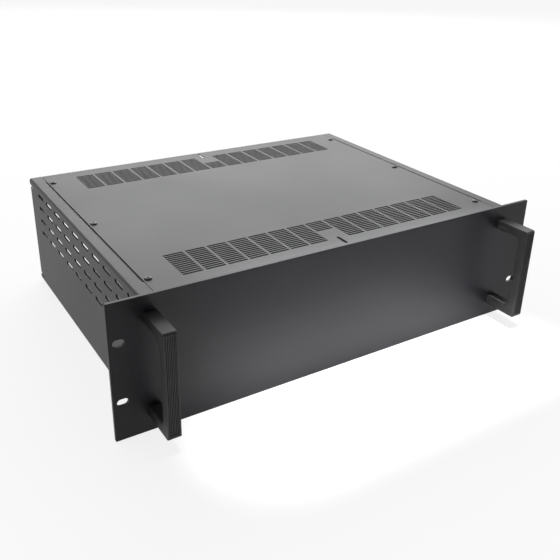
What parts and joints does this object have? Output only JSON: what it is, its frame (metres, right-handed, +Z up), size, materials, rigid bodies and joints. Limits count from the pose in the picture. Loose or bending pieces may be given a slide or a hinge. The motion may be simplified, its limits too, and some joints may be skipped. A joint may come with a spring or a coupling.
{
  "type": "rack-mount sheet metal chassis",
  "caption": "Low, wide sheet metal chassis with a flat slotted front panel, bow handles, vented folded sides, a vented screwed-on cover and an open rear.",
  "frame": {"origin": "middle of the four rack slots, on the rear face of the front panel, where it meets the rack rails", "axes": "+X to the right along the front panel's width, +Y from the front panel back into the case, +Z up along the panel's height"},
  "size_m": [0.4826, 0.374, 0.1324],
  "materials": {
    "case_finish": "black powder coat with a fine texture",
    "panel_finish": "smooth satin black coat",
    "black_screw": "black oxide steel, satin",
    "handle_plastic": "satin black moulded plastic",
    "grip_plastic": "ribbed black moulded plastic"
  },
  "bodies": {
    "root": {"front_panel": "panel_finish", "left_side_panel": "case_finish", "right_side_panel": "case_finish", "top_cover": "case_finish", "bottom_cover": "case_finish", "top_cover_screw_left_1": "black_screw", "top_cover_screw_left_2": "black_screw", "top_cover_screw_left_3": "black_screw", "top_cover_screw_right_1": "black_screw", "top_cover_screw_right_2": "black_screw", "top_cover_screw_right_3": "black_screw", "bottom_cover_screw_left_1": "black_screw", "bottom_cover_screw_left_2": "black_screw", "bottom_cover_screw_left_3": "black_screw", "bottom_cover_screw_right_1": "black_screw", "bottom_cover_screw_right_2": "black_screw", "bottom_cover_screw_right_3": "black_screw", "left_handle": "handle_plastic", "left_grip_strip": "grip_plastic", "left_handle_screw_lower": "black_screw", "left_handle_screw_upper": "black_screw", "right_handle": "handle_plastic", "right_grip_strip": "grip_plastic", "right_handle_screw_lower": "black_screw", "right_handle_screw_upper": "black_screw"}
  },
  "joints": []
}
